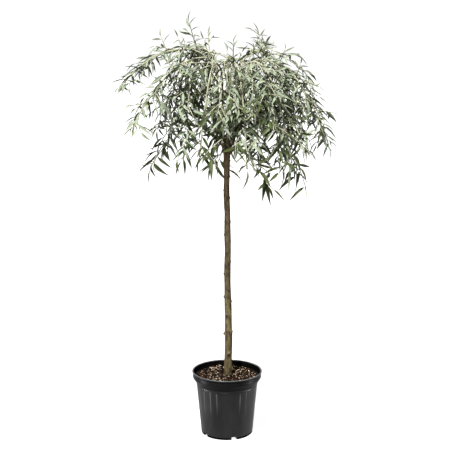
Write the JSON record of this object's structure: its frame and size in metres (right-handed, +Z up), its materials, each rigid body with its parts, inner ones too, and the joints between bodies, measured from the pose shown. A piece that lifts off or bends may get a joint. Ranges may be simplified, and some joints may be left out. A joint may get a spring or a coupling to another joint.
{
  "type": "potted weeping pear tree",
  "caption": "Young weeping pear on a straight stem, its boughs arching from a graft and hanging in silvery narrow leaves, in a ribbed black nursery pot.",
  "frame": {"origin": "middle of the pot's flat underside, on the ground", "axes": "+Z up along the stem, -Y towards the viewer of the picture, +X to the viewer's right"},
  "size_m": [0.8371, 0.6292, 1.5951],
  "materials": {
    "pot": "satin moulded plastic, near black",
    "mulch": "rough bark mulch, dark brown with pale chips",
    "bark": "olive brown young bark, slightly glossy",
    "leaves": "downy silver grey green leaves"
  },
  "bodies": {
    "root": {"pot": "pot", "potting_mix": "mulch", "trunk": "bark", "foliage_middle": "leaves", "bough_right": "bark", "foliage_right": "leaves", "bough_back_right": "bark", "foliage_back_right": "leaves", "bough_back": "bark", "foliage_back": "leaves", "bough_back_left": "bark", "foliage_back_left": "leaves", "bough_left": "bark", "foliage_left": "leaves", "bough_front_left": "bark", "foliage_front_left": "leaves", "bough_front": "bark", "foliage_front": "leaves", "bough_front_right": "bark", "foliage_front_right": "leaves", "bough_right_front": "bark", "foliage_right_front": "leaves"}
  },
  "joints": []
}
